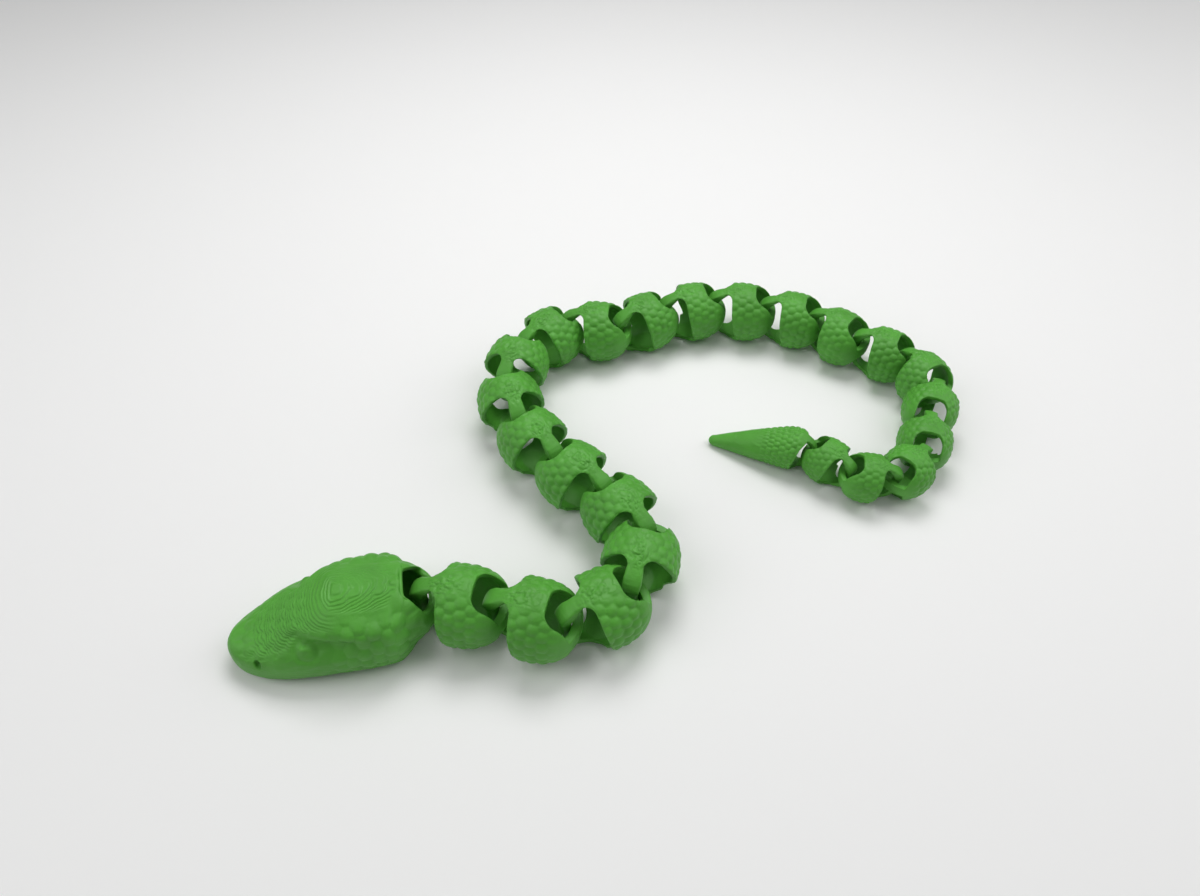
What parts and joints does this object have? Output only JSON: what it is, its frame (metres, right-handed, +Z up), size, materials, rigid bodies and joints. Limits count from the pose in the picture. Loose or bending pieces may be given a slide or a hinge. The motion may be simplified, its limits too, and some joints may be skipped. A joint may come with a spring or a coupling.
{
  "type": "articulated snake toy",
  "caption": "Articulated snake toy, printed in place: a wedge-shaped head, hollow scaled links hooked through each other so that each swings sideways, and a pointed tail.",
  "frame": {"origin": "on the flat underside of the head, below the middle of the skull", "axes": "+X from the snout to the neck, +Z up, away from the surface that the snake lies on"},
  "size_m": [0.2765, 0.1619, 0.0275],
  "materials": {
    "green_plastic": "satin printed plastic with fine layer lines"
  },
  "bodies": {
    "head": {"head": "green_plastic"},
    "link_01": {"link_01": "green_plastic"},
    "link_02": {"link_02": "green_plastic"},
    "link_03": {"link_03": "green_plastic"},
    "link_04": {"link_04": "green_plastic"},
    "link_05": {"link_05": "green_plastic"},
    "link_06": {"link_06": "green_plastic"},
    "link_07": {"link_07": "green_plastic"},
    "link_08": {"link_08": "green_plastic"},
    "link_09": {"link_09": "green_plastic"},
    "link_10": {"link_10": "green_plastic"},
    "link_11": {"link_11": "green_plastic"},
    "link_12": {"link_12": "green_plastic"},
    "link_13": {"link_13": "green_plastic"},
    "link_14": {"link_14": "green_plastic"},
    "link_15": {"link_15": "green_plastic"},
    "link_16": {"link_16": "green_plastic"},
    "link_17": {"link_17": "green_plastic"},
    "link_18": {"link_18": "green_plastic"},
    "link_19": {"link_19": "green_plastic"},
    "link_20": {"link_20": "green_plastic"},
    "link_21": {"link_21": "green_plastic"},
    "link_22": {"link_22": "green_plastic"},
    "link_23": {"link_23": "green_plastic"},
    "tail": {"tail": "green_plastic"}
  },
  "joints": [
    {"name": "hinge_01", "type": "hinge", "parent": "head", "child": "link_01", "pos_m": [0.02722, 0, 0.0124], "axis": [0, 0, 1], "range_deg": [-34, 76]},
    {"name": "hinge_02", "type": "hinge", "parent": "link_01", "child": "link_02", "pos_m": [0.04916, -0.00842, 0.01234], "axis": [0, 0, 1], "range_deg": [-50, 60]},
    {"name": "hinge_03", "type": "hinge", "parent": "link_02", "child": "link_03", "pos_m": [0.07019, -0.01868, 0.01229], "axis": [0, 0, 1], "range_deg": [-95, 15]},
    {"name": "hinge_04", "type": "hinge", "parent": "link_03", "child": "link_04", "pos_m": [0.09278, -0.01304, 0.01223], "axis": [0, 0, -1], "range_deg": [-6, 104]},
    {"name": "hinge_05", "type": "hinge", "parent": "link_04", "child": "link_05", "pos_m": [0.1033, 0.00761, 0.01217], "axis": [0, 0, -1], "range_deg": [-2, 108]},
    {"name": "hinge_06", "type": "hinge", "parent": "link_05", "child": "link_06", "pos_m": [0.09319, 0.02834, 0.01211], "axis": [0, 0, -1], "range_deg": [-43, 67]},
    {"name": "hinge_07", "type": "hinge", "parent": "link_06", "child": "link_07", "pos_m": [0.07906, 0.04643, 0.01206], "axis": [0, 0, 1], "range_deg": [-44, 66]},
    {"name": "hinge_08", "type": "hinge", "parent": "link_07", "child": "link_08", "pos_m": [0.06868, 0.06679, 0.012], "axis": [0, 0, 1], "range_deg": [-35, 75]},
    {"name": "hinge_09", "type": "hinge", "parent": "link_08", "child": "link_09", "pos_m": [0.06591, 0.08936, 0.01194], "axis": [0, 0, 1], "range_deg": [-20, 90]},
    {"name": "hinge_10", "type": "hinge", "parent": "link_09", "child": "link_10", "pos_m": [0.07654, 0.10934, 0.01188], "axis": [0, 0, -1], "range_deg": [-89, 21]},
    {"name": "hinge_11", "type": "hinge", "parent": "link_10", "child": "link_11", "pos_m": [0.09642, 0.11992, 0.01183], "axis": [0, 0, -1], "range_deg": [-100, 10]},
    {"name": "hinge_12", "type": "hinge", "parent": "link_11", "child": "link_12", "pos_m": [0.11786, 0.11336, 0.01177], "axis": [0, 0, -1], "range_deg": [-20, 30]},
    {"name": "hinge_13", "type": "hinge", "parent": "link_12", "child": "link_13", "pos_m": [0.13907, 0.12026, 0.01171], "axis": [0, 0, 1], "range_deg": [-30, 73]},
    {"name": "hinge_14", "type": "hinge", "parent": "link_13", "child": "link_14", "pos_m": [0.16127, 0.12026, 0.01166], "axis": [0, 0, 1], "range_deg": [-35, 75]},
    {"name": "hinge_15", "type": "hinge", "parent": "link_14", "child": "link_15", "pos_m": [0.18203, 0.1127, 0.01128], "axis": [0, 0, 1], "range_deg": [-46, 64]},
    {"name": "hinge_16", "type": "hinge", "parent": "link_15", "child": "link_16", "pos_m": [0.20073, 0.10233, 0.01091], "axis": [0, 0, -1], "range_deg": [-77, 33]},
    {"name": "hinge_17", "type": "hinge", "parent": "link_16", "child": "link_17", "pos_m": [0.21375, 0.08626, 0.01054], "axis": [0, 0, -1], "range_deg": [-45, 37]},
    {"name": "hinge_18", "type": "hinge", "parent": "link_17", "child": "link_18", "pos_m": [0.22882, 0.07316, 0.01017], "axis": [0, 0, -1], "range_deg": [-89, 21]},
    {"name": "hinge_19", "type": "hinge", "parent": "link_18", "child": "link_19", "pos_m": [0.23381, 0.05454, 0.0098], "axis": [0, 0, 1], "range_deg": [-4, 106]},
    {"name": "hinge_20", "type": "hinge", "parent": "link_19", "child": "link_20", "pos_m": [0.2229, 0.03952, 0.00942], "axis": [0, 0, 1], "range_deg": [-37, 50]},
    {"name": "hinge_21", "type": "hinge", "parent": "link_20", "child": "link_21", "pos_m": [0.2137, 0.02422, 0.00905], "axis": [0, 0, 1], "range_deg": [-26, 84]},
    {"name": "hinge_22", "type": "hinge", "parent": "link_21", "child": "link_22", "pos_m": [0.19884, 0.01564, 0.00868], "axis": [0, 0, -1], "range_deg": [-107, 3]},
    {"name": "hinge_23", "type": "hinge", "parent": "link_22", "child": "link_23", "pos_m": [0.18359, 0.0218, 0.00831], "axis": [0, 0, -1], "range_deg": [-92, 18]},
    {"name": "hinge_24", "type": "hinge", "parent": "link_23", "child": "tail", "pos_m": [0.17548, 0.03529, 0.00794], "axis": [0, 0, -1], "range_deg": [-26, 84]}
  ]
}
